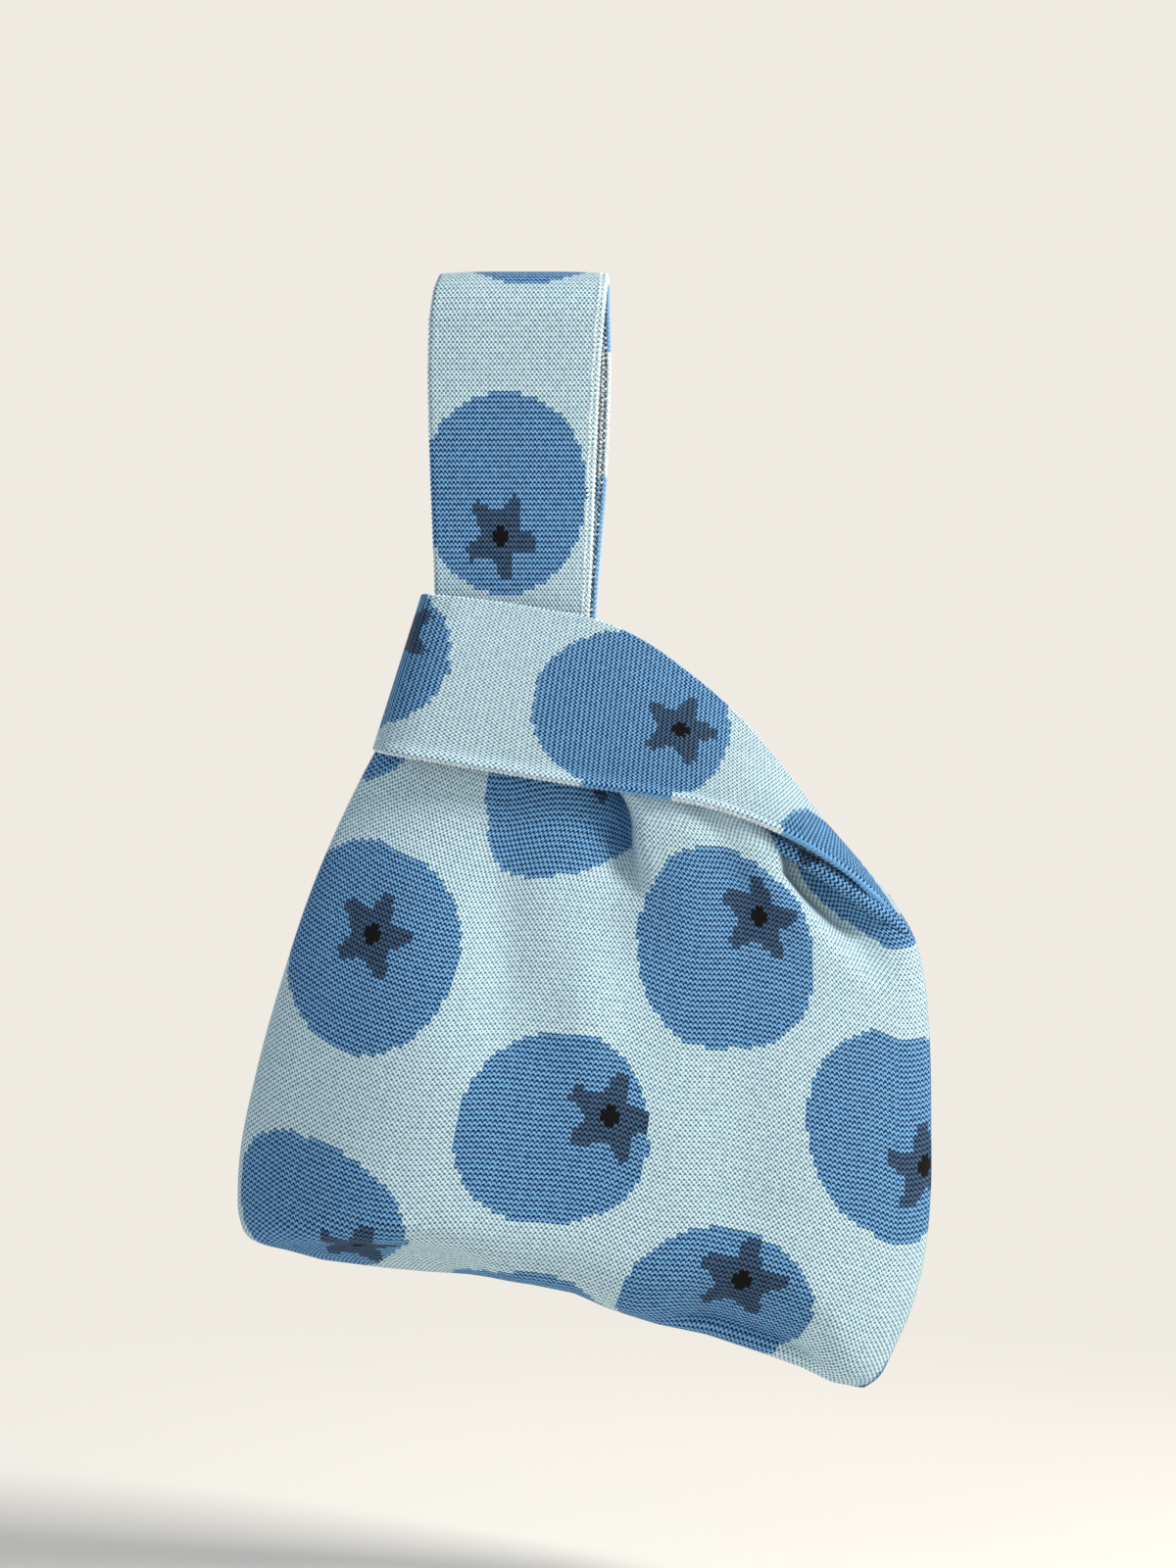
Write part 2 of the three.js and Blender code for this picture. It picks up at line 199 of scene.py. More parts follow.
# Jacquard knit
# Matt polyester-cotton yarn: pale ground, mid-blue berries, slate stars with a black pip. The gaps between
# the loops, two to a stitch, are darker: partly the backing yarn that shows there, partly painted shade. The
# shares of zigzag, and the depths at which a gap shows nothing but that dark colour, are first for the
# ground and then for the berries with their stars. Each noise is its scale and its detail, and the reliefs
# are in metres.
GROUND_HEX, BERRY_HEX, STAR_HEX, PIP_HEX = "#d0e8f1", "#74addd", "#43607f", "#060608"
YARN_HEXES = (GROUND_HEX, BERRY_HEX, STAR_HEX, PIP_HEX)
# Dark colours for deep gaps, one per yarn: partly the backing yarn, partly painted shade.
BACKING_AND_GAP_SHADE_HEXES = ("#507b8e", "#0b2549", "#0b172b", "#020203")
# The reverse's light and mid marl colours, then painted shade for its gaps.
MARL_AND_GAP_SHADE_HEXES = ("#d6e6ea", "#86a4b1", "#22303c")
YARN_STEPS = (0.17, 0.5, 0.83)
ZIGZAG_SHARES = (0.26, 0.43)
GAP_START, GAP_DEPTHS = 0.12, (0.76, 0.54)
SLACK_NOISE, SLACK_SHARE = (0.8, 1.0), 0.6
TONE_NOISE, TONE_RANGE = (90.0, 3.0), (0.94, 1.06)
FUZZ_NOISE, FUZZ_SHARE = (2500.0, 2.0), 0.35
LOOP_RELIEF, RELIEF_STRENGTH = 0.0004, 0.5
KNIT_ROUGHNESS, KNIT_GLOSS = 0.88, 0.15
KNIT_SHEEN, SHEEN_ROUGHNESS = 0.02, 0.5


def yarn_colours(tree, yarn, codes):
    """A colour for each yarn number from 0 to 3, as a ramp that steps about halfway between two numbers."""
    share = calc(tree, "MULTIPLY", yarn, 1 / 3)
    ramp = put(tree, "ValToRGB", {0: share})
    ramp.color_ramp.interpolation = "CONSTANT"
    stops = ramp.color_ramp.elements
    stops.remove(stops[1])
    stops[0].color = linear(codes[0])
    for place, code in zip(YARN_STEPS, codes[1:]):
        stops.new(place).color = linear(code)
    return ramp.outputs[0]


def ground_or_berry(tree, yarn, values):
    """The first value on the ground yarn and the second on the others."""
    figured = calc(tree, "GREATER_THAN", yarn, 0.5)
    return put(tree, "MapRange", {"Value": figured, "To Min": values[0], "To Max": values[1]}).outputs[0]


def knit_material(name, reverse):
    """Loops with gaps between them, as deep as -cos(2 pi wale) cos(2 pi course), of which a share is cos(2
    pi course + cos(2 pi wale)) instead and draws them into zigzags. Noise makes the gaps uneven. Where they
    are deep they take a dark colour, partly the backing yarn and partly painted shade. The reverse is a marl
    of all yarns, with painted shade in its gaps."""
    material = blank_material(name)
    tree = material.node_tree
    stitch = put(tree, "UVMap", uv_map="stitch").outputs[0]
    yarn = put(tree, "Attribute", attribute_name="yarn", attribute_type="GEOMETRY").outputs["Fac"]
    turns = put(tree, "VectorMath", {0: stitch, "Scale": 2 * math.pi}, operation="SCALE").outputs[0]
    course_turn = put(tree, "SeparateXYZ", {0: turns}).outputs[1]
    waves = put(tree, "VectorMath", {0: turns}, operation="COSINE").outputs[0]
    wale_wave, course_wave = put(tree, "SeparateXYZ", {0: waves}).outputs[:2]
    dots = calc(tree, "MULTIPLY", calc(tree, "MULTIPLY", wale_wave, course_wave), -1.0)
    zigzag = calc(tree, "COSINE", calc(tree, "ADD", wale_wave, course_turn))
    drawn = ground_or_berry(tree, yarn, ZIGZAG_SHARES)
    even = put(tree, "Mix", {0: drawn, 2: dots, 3: zigzag}, data_type="FLOAT").outputs[0]
    gap = calc(tree, "MULTIPLY_ADD", noise(tree, stitch, *SLACK_NOISE), SLACK_SHARE, even)
    deep = ground_or_berry(tree, yarn, GAP_DEPTHS)
    # Painted shade: where a gap is deep, the loop colour gives way to the dark gap colour.
    backing_and_shade_share = put(tree, "MapRange", {"Value": gap, "From Min": GAP_START, "From Max": deep}).outputs[0]
    if reverse:
        light, mid, backing_and_shade = (linear(code) for code in MARL_AND_GAP_SHADE_HEXES)
        face = put(tree, "TexChecker", {0: stitch, "Scale": 1.0, 1: light, 2: mid}).outputs[0]
    else:
        face, backing_and_shade = (yarn_colours(tree, yarn, codes) for codes in (YARN_HEXES, BACKING_AND_GAP_SHADE_HEXES))
    cloth = put(tree, "Mix", {0: backing_and_shade_share, 6: face, 7: backing_and_shade}, data_type="RGBA").outputs[2]
    place = put(tree, "TexCoord").outputs["Object"]
    cloud = noise(tree, place, *TONE_NOISE)
    limits = {"Value": cloud, "To Min": TONE_RANGE[0], "To Max": TONE_RANGE[1]}
    tone = put(tree, "MapRange", limits).outputs[0]
    shade = put(tree, "HueSaturation", {"Color": cloth, "Value": tone}).outputs[0]
    height = calc(tree, "MULTIPLY_ADD", noise(tree, place, *FUZZ_NOISE), FUZZ_SHARE, gap)
    bump = {"Height": height, "Strength": RELIEF_STRENGTH, "Distance": -LOOP_RELIEF}
    surface = {
        "Base Color": shade,
        "Roughness": KNIT_ROUGHNESS,
        "Normal": put(tree, "Bump", bump).outputs[0],
        "Specular IOR Level": KNIT_GLOSS,
        "Sheen Weight": KNIT_SHEEN,
        "Sheen Roughness": SHEEN_ROUGHNESS,
    }
    skin = put(tree, "BsdfPrincipled", surface)
    put(tree, "OutputMaterial", {"Surface": skin.outputs[0]})
    return material


jacquard = [knit_material("jacquard_knit_face", False), knit_material("jacquard_knit_reverse", True)]

# Lines and soft shapes


def through(points, t):
    """Point at share t of a smooth line through points: a cubic per span, sloped by its neighbours."""
    points = np.asarray(points, float)
    span = np.linalg.norm(np.diff(points, axis=0), axis=1)
    knot = np.concatenate([[0.0], np.cumsum(span)])
    slope = np.gradient(points, knot, axis=0)
    s = np.clip(t, 0, 1) * knot[-1]
    i = np.clip(np.searchsorted(knot, s, "right") - 1, 0, len(span) - 1)
    h = span[i][..., None]
    w = ((s - knot[i]) / span[i])[..., None]
    start = (1 + 2 * w) * (1 - w) ** 2 * points[i] + w * (1 - w) ** 2 * h * slope[i]
    return start + w * w * (3 - 2 * w) * points[i + 1] + w * w * (w - 1) * h * slope[i + 1]


def bezier(points, t):
    """Bezier curve: repeated straight blends between neighbouring points at share t."""
    line = [np.asarray(p, float)[None] + 0 * t[:, None] for p in points]
    while len(line) > 1:
        line = [p + (q - p) * t[:, None] for p, q in zip(line, line[1:])]
    return line[0]


def respaced(lines, shares):
    """Moves the points of each line along axis 0 to the given shares of that line's own length."""
    length = np.linalg.norm(np.diff(lines, axis=0), axis=2)
    run = np.concatenate([np.zeros((1, lines.shape[1])), np.cumsum(length, axis=0)])
    run /= run[-1]
    made = [
        [np.interp(shares[:, m], run[:, m], lines[:, m, k]) for k in range(3)]
        for m in range(lines.shape[1])
    ]
    return np.transpose(np.array(made), (2, 0, 1))


def smooth(value, low, high):
    """0 up to low, 1 from high, and 3t^2 - 2t^3 between them."""
    t = np.clip((value - low) / (high - low), 0, 1)
    return t * t * (3 - 2 * t)


def peak(value, height, middle, width):
    """A soft peak, h exp(-((v - m) / w)^2)."""
    return height * np.exp(-(((value - middle) / width) ** 2))


def plateau(value, limits):
    """0 outside the four limits, 1 between the middle two, and a smooth rise and fall between."""
    return smooth(value, limits[0], limits[1]) * (1 - smooth(value, limits[2], limits[3]))


def valley(x, z, middle, widths, reach):
    """A fold line running down: exp(-(d/w)^2) of the distance d from it, with its own width on each side,
    faded out between the heights of reach."""
    away = x - middle
    width = np.where(away < 0, widths[0], widths[1])
    return np.exp(-((away / width) ** 2)) * smooth(z, reach[0], reach[1])


def mound(x, z, centre, size):
    """A soft swelling, exp(-(dx/a)^2 - (dz/b)^2) about its centre."""
    return np.exp(-(((x - centre[0]) / size[0]) ** 2) - ((z - centre[1]) / size[1]) ** 2)


# Sheets of knit
# KNIT is the thickness, and WALE and COURSE are the width and height of a stitch. The pattern is spotted
# with round berries, each with a dark star. A berry's seven numbers are its centre in millimetres of flat
# knit, its shares of the usual width and height, the middle of its star and the star's turn in degrees.
# SIDES gives the two faces of the bag their sign along Y.
KNIT = 2.6
WALE = 1.526
COURSE = 1.73
YARN_GROUND, YARN_BERRY, YARN_STAR, YARN_PIP = 0.0, 1.0, 2.0, 3.0
BERRY_RADII = (31.2, 32.6)
BERRY_SQUARENESS = 2.1
STAR_ARMS = 5
STAR_POINT, STAR_TIP, STAR_WAIST, PIP_RADIUS = 20.0, 14.2, 7.6, 3.0
SIDES = ((-1, "front"), (1, "back"))


def yarn_at(wale, course, berries):
    """Which yarn shows in each stitch. A berry is a squarish disc, |x/r|^p + |y/r|^p < 1, about its centre.
    Its star has straight-sided arms, P W sin b / (P sin a + W sin(b - a)) from the middle at angle a from
    an arm, where b is half the angle between arms, P the reach of their points and W that of the notches.
    The points are cut off square at the tip, and the pip is round. The star's middle is moved to the nearest
    corner between stitches."""
    x = (np.floor(wale) + 0.5) * WALE
    y = (np.floor(course) + 0.5) * COURSE
    yarn = np.full(x.shape, YARN_GROUND)
    for centre_x, centre_y, wide, high, star_x, star_y, turn in berries:
        across = np.abs(x - centre_x) / BERRY_RADII[0] / wide
        up = np.abs(y - centre_y) / BERRY_RADII[1] / high
        inside = across**BERRY_SQUARENESS + up**BERRY_SQUARENESS < 1
        yarn[inside] = YARN_BERRY
        dx = x - round(star_x / WALE) * WALE
        dy = y - round(star_y / COURSE) * COURSE
        half = math.pi / STAR_ARMS
        a = np.abs((np.arctan2(dx, dy) - math.radians(turn) + half) % (2 * half) - half)
        side = STAR_POINT * STAR_WAIST * math.sin(half)
        side = side / (STAR_POINT * np.sin(a) + STAR_WAIST * np.sin(half - a))
        reach = np.minimum(side, STAR_TIP / np.cos(a))
        away = np.hypot(dx, dy)
        yarn[inside & (away < reach)] = YARN_STAR
        yarn[inside & (away < PIP_RADIUS)] = YARN_PIP
    return yarn


def knit_piece(name, points, wale, course, berries, flip=False, thickness=KNIT):
    """A sheet of knit on a grid of points. The UV map holds each point's wale and course number, and the
    face attribute yarn the yarn of each stitch. Solidify gives the sheet its thickness and its reverse."""
    rows, columns = points.shape[:2]
    index = np.arange(rows * columns).reshape(rows, columns)
    corner = [index[:-1, :-1], index[:-1, 1:], index[1:, 1:], index[1:, :-1]]
    if flip:
        corner = corner[::-1]
    faces = np.stack(corner, axis=-1).reshape(-1, 4)
    mesh = bpy.data.meshes.new(name)
    mesh.from_pydata((points.reshape(-1, 3) * MM).tolist(), [], faces.tolist())
    stitch = np.stack([wale, course], axis=-1).reshape(-1, 2)
    mesh.uv_layers.new(name="stitch").data.foreach_set("uv", stitch[faces.ravel()].ravel())
    middle = stitch[faces].mean(axis=1)
    yarn = yarn_at(middle[:, 0], middle[:, 1], berries)
    mesh.attributes.new("yarn", "FLOAT", "FACE").data.foreach_set("value", yarn.astype(np.float32))
    mesh.polygons.foreach_set("use_smooth", np.ones(len(faces), bool))
    for material in jacquard:
        mesh.materials.append(material)
    piece = bpy.data.objects.new(name, mesh)
    bpy.context.scene.collection.objects.link(piece)
    solid = piece.modifiers.new("thickness", "SOLIDIFY")
    solid.thickness = thickness * MM
    solid.offset = 0.0
    solid.material_offset = 1
    mesh.update()
    return piece


# Long handle
# A strap worn over the wrist, by which the bag hangs: it runs up from inside the band, over the support and
# down the back. Its left and right edges in front are given as drops below the support and the x at each,
# and the back's shift to the right of them in the same way.
SEAT_RADIUS, SEAT_EASE = 11.5, 1.0
HANDLE_END = 112.0
NECK_DROP, NECK_SPREAD = 102.0, 4.2
LEG_HOLLOW = 1.4
LEG_STEPS, BEND_STEPS = 80, 60
EDGE_CURL, CURL_POWER = 0.7, 4
HANDLE_WALES = 40
HANDLE_LEFT_EDGE = ([-2, 4, 14, 30, 68, 100, HANDLE_END], [-24.6, -26.2, -27.6, -28.1, -27.8, -27.1, -27.1])
HANDLE_RIGHT_EDGE = ([0, 24, 62, 108, HANDLE_END], [28.6, 26.5, 24.3, 21.8, 21.7])
HANDLE_BACK_SHIFT = ([0, 26, 62, 108, HANDLE_END], [0.6, 3.4, 4.6, 3.8, 3.7])
HANDLE_BERRIES = [
    (27.6, 43.2, 1.0, 1.0, 25.4, 29.4, 28),
    (32.8, 143.2, 1.0, 1.0, 36.0, 151.0, 12),
    (40.0, 222.0, 1.0, 1.0, 34.0, 216.0, -10),
]

# The strap's middle line in side view, up the front leg, round the support and down the back leg.
leg = np.linspace(HANDLE_END, SEAT_RADIUS, LEG_STEPS)
loop_radius = SEAT_RADIUS + SEAT_EASE + KNIT / 2
to_neck = np.clip((NECK_DROP - leg) / (NECK_DROP - SEAT_RADIUS), 0, 1)
leg_depth = NECK_SPREAD + (loop_radius - NECK_SPREAD) * to_neck**LEG_HOLLOW
sweep = np.linspace(0, math.pi, BEND_STEPS)[1:-1]
handle_line = np.concatenate(
    [
        np.stack([-leg_depth, -leg], 1),
        np.stack([-np.cos(sweep), np.sin(sweep)], 1) * loop_radius + [0, -SEAT_RADIUS],
        np.stack([leg_depth, -leg], 1)[::-1],
    ]
)

# One row of points per course along that line, and one column per wale between the strap's edges.
handle_run = np.concatenate([[0], np.cumsum(np.linalg.norm(np.diff(handle_line, axis=0), axis=1))])
handle_courses = round(handle_run[-1] / COURSE)
course_run = np.linspace(0, handle_run[-1], handle_courses + 1)
handle_y, handle_z = (np.interp(course_run, handle_run, handle_line[:, k]) for k in (0, 1))
shift = np.interp(-handle_z, *HANDLE_BACK_SHIFT) * smooth(handle_y, -SEAT_RADIUS, SEAT_RADIUS)
handle_left = np.interp(-handle_z, *HANDLE_LEFT_EDGE) + shift
handle_right = np.interp(-handle_z, *HANDLE_RIGHT_EDGE) + shift
across = np.linspace(0, 1, HANDLE_WALES + 1)
outward = np.gradient(np.stack([handle_y, handle_z], 1), axis=0)
outward = np.stack([-outward[:, 1], outward[:, 0]], 1) / np.linalg.norm(outward, axis=1)[:, None]
curl = EDGE_CURL * (2 * across - 1) ** CURL_POWER
handle_grid = np.stack(
    [
        handle_left[:, None] + (handle_right - handle_left)[:, None] * across,
        handle_y[:, None] - outward[:, :1] * curl,
        handle_z[:, None] - outward[:, 1:] * curl,
    ],
    axis=-1,
)
handle_wale, handle_course = np.meshgrid(np.arange(HANDLE_WALES + 1.0), np.arange(handle_courses + 1.0))
handle = knit_piece("long_handle_knit", handle_grid, handle_wale, handle_course, HANDLE_BERRIES)
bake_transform(handle)
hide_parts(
    "long_handle_front_strap", "long_handle_back_strap", "handle_flex_front", "handle_flex_back"
)

# Pouch
# Two shaped panels of the same knit, linked at the sides and along the bottom, hang slack and rounded.
# The tops are gathered under the band in soft pleats and narrow to the foot of the long handle.
# The side lines are x and z from the bottom up. The hem's wave is the rise at each share of the width.
PANEL_WALES, PANEL_COURSES = 148, 118
PANEL_STEPS = (420, 320)
PANEL_DROP = 165
PANEL_LEFT = [
    (-82, -310.6), (-86.9, -308), (-88.9, -302.5), (-89.3, -294), (-88.6, -283), (-83.6, -257.5),
    (-74.9, -225.9), (-66.1, -199), (-57.7, -178.5), (-49.4, -161.2), (-44.4, -151.7),
]
PANEL_RIGHT = [
    (112.2, -357.4), (116.2, -354.6), (120.2, -347.4), (126.6, -333), (131.4, -313), (133, -296),
    (133.2, -273.5), (132.5, -242), (131, -226), (127.8, -212.9), (119.8, -199.3),
]
HEM_WAVE = (
    [0, 0.1, 0.2, 0.27, 0.34, 0.45, 0.52, 0.58, 0.66, 0.74, 0.82, 0.9, 0.95, 1],
    [0, -0.6, 1.6, 3.6, 6.1, 8.2, 8.6, 6.2, 4.8, 5.2, 3.8, 2.0, -0.4, 0],
)
HEM_FADE = (0.05, 0.9)
ROW_SAG, SAG_FADE = 4.0, (0.1, 0.6)

# The depth of a panel from the middle plane, greatest low on the left. A peak is its height, its middle and
# its spread, as shares of the width. The back's depth and folds are shares of the front's.
SIDE_DEPTH = 1.0
SECTION_POWERS = (2.6, 0.55)
BELLY, LEFT_BELLY = 20.5, (11.0, 0.2, 0.2)
TOP_DEPTH, TOP_FADE = 12.0, (0.35, 1)
BACK_FLATTER, BACK_FOLDS = 0.85, 0.6

# The cloth that turns under to the hem, over the lowest share of the rows. The two profiles, as shares of
# depth and height, are for the left and right corners, and each is blended in between its lip's limits.
# The turn is higher by a peak near each corner, and a power rounds it off at the two ends.
UNDER_SHARE = 0.18
UNDER_LEFT = [(0, 0), (0.2, 0.24), (0.52, 0.48), (0.9, 0.60), (0.99, 0.73), (1, 1)]
UNDER_RIGHT = [(0, 0), (0.2, 0.06), (0.27, 0.15), (0.2, 0.26), (0.5, 0.5), (0.86, 0.78), (1, 1)]
LEFT_LIP, RIGHT_LIP = (0, 0.08, 0.26, 0.44), (0.6, 0.74, 0.86, 0.97)
TURN_UP, LEFT_TURN_UP, RIGHT_TURN_UP = 22, (8, 0.2, 0.25), (13, 0.8, 0.16)
TURN_UP_POWER = 0.35

# The deep pleat: its depth, its x, the widths of its left and right flanks and the heights between which it
# grows. Then the soft swellings and dents: how far each stands out, its centre, and its spread across and
# up. The ridge beside the pleat leans over it.
PLEAT_DEPTH, PLEAT_X, PLEAT_FLANKS, PLEAT_REACH = 15.5, 39.8, (11.5, 2.8), (-203, -172)
SWELLINGS = [
    (-3.0, (25, -206), (13, 24)),
    (3.0, (54, -188), (12, 30)),
    (3.5, (23, -230), (10, 30)),
    (-4.0, (-4, -214), (11, 36)),
    (2.0, (-36, -196), (14, 34)),
    (-2.2, (72, -285), (16, 40)),
    (-2.5, (-28, -316), (7, 12)),
]
RIDGE_LEAN, RIDGE_CENTRE, RIDGE_SIZE = 5.0, (45.3, -175), (5.5, 17)

# The hollow beside the shoulder, behind a crest that runs down to the right from CREST_START. CREST_ACROSS
# points across the crest into the hollow. Both fade out, and the hollow's edge softens, between two
# distances down the crest. The crest's foot lies between two heights.
CREST_START, CREST_ACROSS = (72.6, -176), (0.815, 0.58)
CREST_HEIGHT, CREST_SET_BACK, CREST_WIDTH = 2.5, 4, 5
CREST_FADE, CREST_FOOT = (30, 72), (-242, -190)
HOLLOW_DEPTH, HOLLOW_WIDTH, HOLLOW_FADE = 14.0, 19, (42, 78)
HOLLOW_EDGE, HOLLOW_SOFTENING, HOLLOW_SOFTENS = 1.4, 5.5, (22, 64)

# The root of the long handle above the panel, between the armhole curve and the mouth curve. Its columns
# rise upright at first and then even out, each between two shares of the rise.
ROOT_ROWS = 40
ROOT_STEPS = 90
ROOT_FIRST_WALE = 15
ROOT_BULGE = 4.0
ROOT_UPRIGHT, ROOT_EVENS_OUT = (0, 0.6), (0.2, 1)
ROOT_CORNER_POWER = 8
ARMHOLE_BEND = (-28.6, -128.0)
MOUTH_BENDS = ((82.0, -176.0), (34.0, -150.0))

# The lowest courses of the panel, in which the wales hang straight down.
FOLD_COURSES = 22

FRONT_BERRIES = [
    (29.1, 115.8, 1.03, 1.03, 30.5, 121.3, 3),
    (102.4, 66.6, 0.95, 0.95, 118.8, 72.7, 9),
    (150.8, 133.6, 1.0, 1.0, 161.6, 145.3, 3),
    (80.5, 186.0, 1.09, 1.18, 91.0, 187.0, 36),
    (34.5, 25.5, 0.98, 0.85, 50.8, 18.6, 10),
    (162.5, 19.5, 0.96, 0.78, 168.0, 29.4, 2),
    (212.3, 86.8, 1.02, 1.02, 221.7, 77.2, -5),
    (106.5, -13.8, 1.0, 1.0, 101.0, -30.0, 0),
    (219.0, 171.5, 0.76, 0.7, 224.0, 205.0, 0),
    (-15.5, 187.6, 1.0, 1.0, -9.0, 205.0, 0),
    (251.0, -4.0, 1.0, 1.0, 260.0, 11.0, 0),
]
BACK_BERRIES = [
    (30.0, 60.0, 1.0, 1.0, 22.0, 66.0, 10),
    (84.0, 116.0, 1.0, 1.0, 74.0, 122.0, -8),
    (138.0, 70.0, 1.0, 1.0, 130.0, 60.0, 5),
    (190.0, 124.0, 1.0, 1.0, 182.0, 130.0, 0),
    (86.0, 6.0, 1.0, 1.0, 90.0, 12.0, 0),
    (196.0, 12.0, 1.0, 1.0, 188.0, 20.0, 0),
    (24.0, 172.0, 1.0, 1.0, 18.0, 165.0, 0),
]


def folds(x, z):
    """How far each place stands in front of the plain rounded panel: the deep pleat under the band, the
    swellings and dents beside it, and the hollow beside the shoulder behind its crest."""
    dx, dz = x - CREST_START[0], z - CREST_START[1]
    off_crest = dx * CREST_ACROSS[0] + dz * CREST_ACROSS[1]
    down_crest = dx * CREST_ACROSS[1] - dz * CREST_ACROSS[0]
    past = np.clip(off_crest, 0, None)
    edge = HOLLOW_EDGE + HOLLOW_SOFTENING * smooth(down_crest, *HOLLOW_SOFTENS)
    hollow = (1 - np.exp(-((past / edge) ** 2))) * np.exp(-((past / HOLLOW_WIDTH) ** 4))
    hollow = hollow * (1 - smooth(down_crest, *HOLLOW_FADE))
    crest = peak(off_crest, 1, -CREST_SET_BACK, CREST_WIDTH)
    crest = crest * (1 - smooth(down_crest, *CREST_FADE)) * smooth(z, *CREST_FOOT)
    total = -PLEAT_DEPTH * valley(x, z, PLEAT_X, PLEAT_FLANKS, PLEAT_REACH)
    for height, centre, size in SWELLINGS:
        total = total + height * mound(x, z, centre, size)
    return total - HOLLOW_DEPTH * hollow + CREST_HEIGHT * crest


def panel_grid(side):
    """The panel's middle surface, up to the root of the long handle. Rows run between the two side lines
    and sag 4 s a (1 - a). The depth at share a across is (1 - |2a - 1|^p)^q of its full depth. Below, the
    cloth turns under in a quarter ellipse, and towards the left and right corners by a profile with a lip
    that hangs at the seam. Then the folds are added, and the ridge beside the deep one leans over it."""
    a = np.linspace(0, 1, PANEL_STEPS[0])[None, :]
    w = np.linspace(0, 1, PANEL_STEPS[1])[:, None]
    section = (1 - np.abs(2 * a - 1) ** SECTION_POWERS[0]) ** SECTION_POWERS[1]
    belly = (BELLY + peak(a, *LEFT_BELLY)) * (BACK_FLATTER if side > 0 else 1.0)
    turned = np.clip(w / UNDER_SHARE, 0, 1)
    swing = turned[..., None] * math.pi / 2
    under = np.concatenate([np.sin(swing), 1 - np.cos(swing)], axis=-1)
    for profile, limits in ((UNDER_LEFT, LEFT_LIP), (UNDER_RIGHT, RIGHT_LIP)):
        under = under + (through(profile, turned) - under) * plateau(a, limits)[..., None]
    turn_up = TURN_UP + peak(a, *LEFT_TURN_UP) + peak(a, *RIGHT_TURN_UP)
    turn_up = turn_up * np.sin(math.pi * a) ** TURN_UP_POWER
    turned_height = turn_up * under[..., 1] / PANEL_DROP
    above = (w - UNDER_SHARE) / (1 - UNDER_SHARE)
    height_above = turn_up / PANEL_DROP + (1 - turn_up / PANEL_DROP) * above
    height = np.where(w < UNDER_SHARE, turned_height, height_above)
    left, right = through(PANEL_LEFT, height), through(PANEL_RIGHT, height)
    x, z = np.moveaxis(left + (right - left) * a[..., None], -1, 0)
    z = z - ROW_SAG * 4 * a * (1 - a) * smooth(height, *SAG_FADE)
    z = z + np.interp(a, *HEM_WAVE) * (1 - smooth(height, *HEM_FADE))
    full = belly + (TOP_DEPTH - belly) * smooth(height, *TOP_FADE)
    swell = folds(x, z) * (BACK_FOLDS if side > 0 else 1.0)
    depth = (full + swell) * section * under[..., 0]
    lean = RIDGE_LEAN * mound(x, z, RIDGE_CENTRE, RIDGE_SIZE) if side < 0 else 0
    return np.stack([x - lean, side * (SIDE_DEPTH + np.clip(depth, 0, None)), z], axis=-1)


def root_grid(top, side):
    """The root of the long handle over the panel's top row: straight rows between the armhole curve and the
    mouth curve, which close in to the neck while the depth eases to the handle's own. Away from both curves
    the columns rise upright at first."""
    rise = np.linspace(0, 1, ROOT_STEPS + 1)[1:]
    neck_row = 0 if side < 0 else -1
    neck_left, neck_right = handle_grid[neck_row][[0, -1]][:, [0, 2]]
    left = bezier([top[0, [0, 2]], ARMHOLE_BEND, neck_left], rise)
    right = bezier([top[-1, [0, 2]], *MOUTH_BENDS, neck_right], rise)
    along_top = ((top[:, 0] - top[0, 0]) / (top[-1, 0] - top[0, 0]))[None, :]
    spread = np.linspace(0, 1, len(top))[None, :]
    s = along_top + (spread - along_top) * smooth(rise, *ROOT_EVENS_OUT)[:, None]
    plain = top[0] + (top[-1] - top[0]) * along_top.T
    ease = (1 - smooth(rise, 0, 1))[:, None]
    x = left[:, :1] + (right[:, :1] - left[:, :1]) * s
    inner = 1 - (2 * along_top - 1) ** ROOT_CORNER_POWER
    upright = (1 - smooth(rise, *ROOT_UPRIGHT))[:, None] * inner
    x = x + (top[None, :, 0] - x) * upright
    z = left[:, 1:] + (right[:, 1:] - left[:, 1:]) * s + (top - plain)[None, :, 2] * ease
    y = top[None, :, 1] * ease + side * NECK_SPREAD * (1 - ease)
    y = y + side * ROOT_BULGE * np.sin(math.pi * rise)[:, None] * s**2
    return np.stack([x, y, z], axis=-1)


